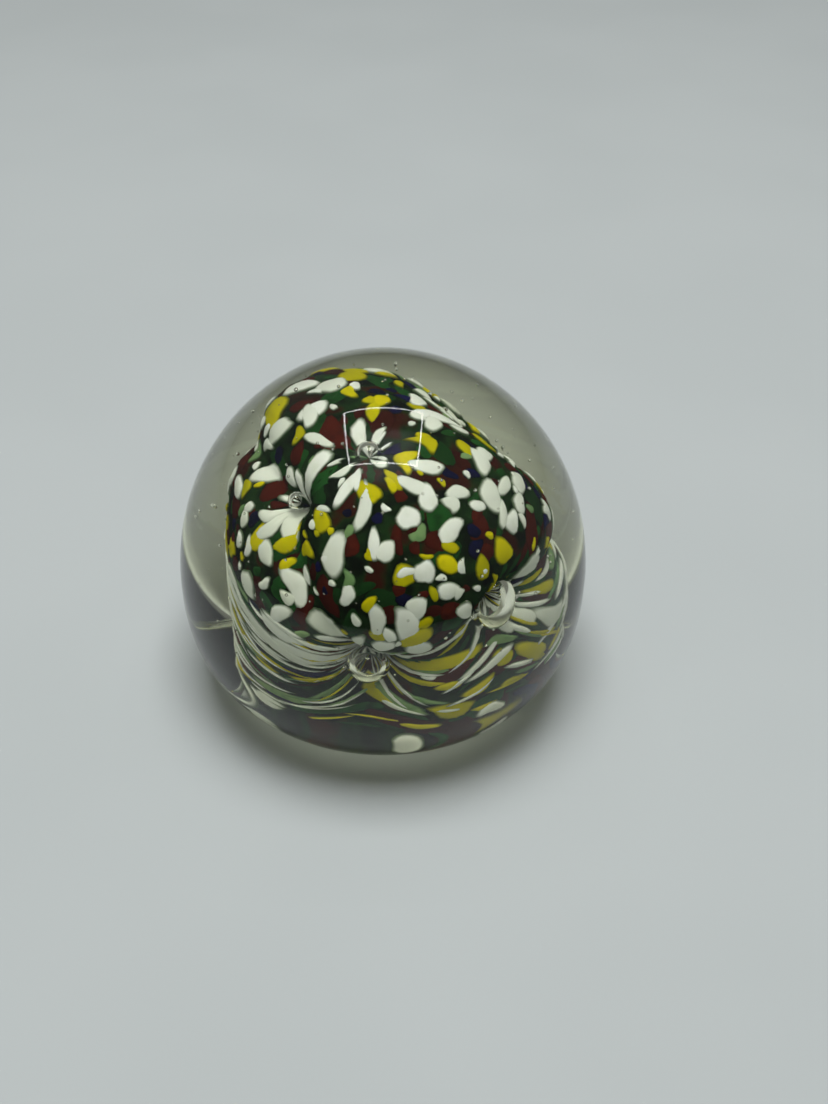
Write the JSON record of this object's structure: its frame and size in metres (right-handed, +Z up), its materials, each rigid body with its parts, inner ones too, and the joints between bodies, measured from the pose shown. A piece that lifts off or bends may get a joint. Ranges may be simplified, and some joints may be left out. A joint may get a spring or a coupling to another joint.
{
  "type": "glass paperweight",
  "caption": "Solid glass dome paperweight whose clear casing covers a chip-coloured core pierced with trapped air bubbles; it holds loose paper down by its weight.",
  "frame": {"origin": "centre of the flat foot, on the surface that the paperweight stands on", "axes": "+Z up through the crown of the dome, front towards -Y, +X to the right seen from the front"},
  "size_m": [0.075, 0.075, 0.064],
  "materials": {
    "clear_glass": "polished",
    "ground_glass": "gloss",
    "white_glass": "gloss",
    "yellow_glass": "gloss",
    "oxblood_glass": "gloss",
    "emerald_glass": "gloss",
    "cobalt_glass": "gloss",
    "pale_glass": "gloss"
  },
  "bodies": {
    "root": {"clear_casing": "clear_glass", "inner_gather": "clear_glass", "green_ground": "ground_glass", "white_chips": "white_glass", "yellow_chips": "yellow_glass", "oxblood_chips": "oxblood_glass", "emerald_chips": "emerald_glass", "cobalt_chips": "cobalt_glass", "pale_chips": "pale_glass"}
  },
  "joints": []
}
